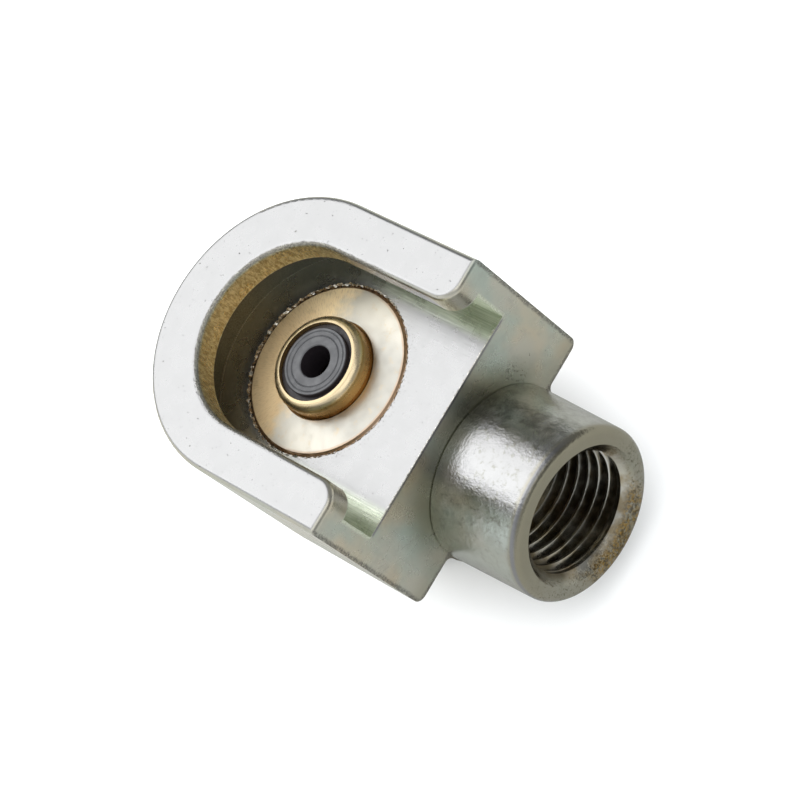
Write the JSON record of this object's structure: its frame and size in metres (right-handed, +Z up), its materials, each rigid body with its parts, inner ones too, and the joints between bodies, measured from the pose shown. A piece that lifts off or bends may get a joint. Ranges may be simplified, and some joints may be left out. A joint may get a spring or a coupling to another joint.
{
  "type": "hook-on grease coupler",
  "caption": "Hook-on grease coupler with a T-slot head for button-head nipples, a sprung brass sealing plunger and a threaded hose inlet.",
  "frame": {"origin": "centre of the channel floor on the plunger's axis, where a button head seats", "axes": "+X out of the slot's mouth and out of the threaded inlet, +Z up out of the slot, +Y to the left when looking from the inlet's back toward its mouth"},
  "size_m": [0.0286, 0.0202, 0.0213],
  "materials": {
    "zinc_plated_steel": "satin bright zinc plate, faintly iridescent, with fine pits",
    "turned_zinc_steel": "turned and zinc plated, mottled satin",
    "brass": "fine turned brass",
    "black_rubber": "matt moulded nitrile rubber",
    "white_ptfe": "smooth waxy plastic",
    "spring_steel": "drawn wire",
    "ball_steel": "polished"
  },
  "bodies": {
    "housing": {"coupler_body": "zinc_plated_steel", "inlet_nipple": "turned_zinc_steel", "retainer_ring": "brass", "plunger_spring": "spring_steel", "check_seat": "brass", "check_spring": "spring_steel"},
    "plunger": {"plunger": "brass", "nose_seal": "black_rubber", "piston_oring": "black_rubber", "backup_ring": "white_ptfe"},
    "check_ball": {"check_ball": "ball_steel"}
  },
  "joints": [
    {"name": "plunger_press", "type": "slide", "parent": "housing", "child": "plunger", "axis": [0, 0, -1], "range_m": [0, 0.00145], "stiffness_N_per_m": 2400, "springref_m": -0.003, "deforming": ["plunger_spring"]},
    {"name": "check_lift", "type": "slide", "parent": "housing", "child": "check_ball", "axis": [-1, 0, 0], "range_m": [0, 0.0005], "stiffness_N_per_m": 40, "springref_m": -0.0005, "deforming": ["check_spring"]}
  ]
}
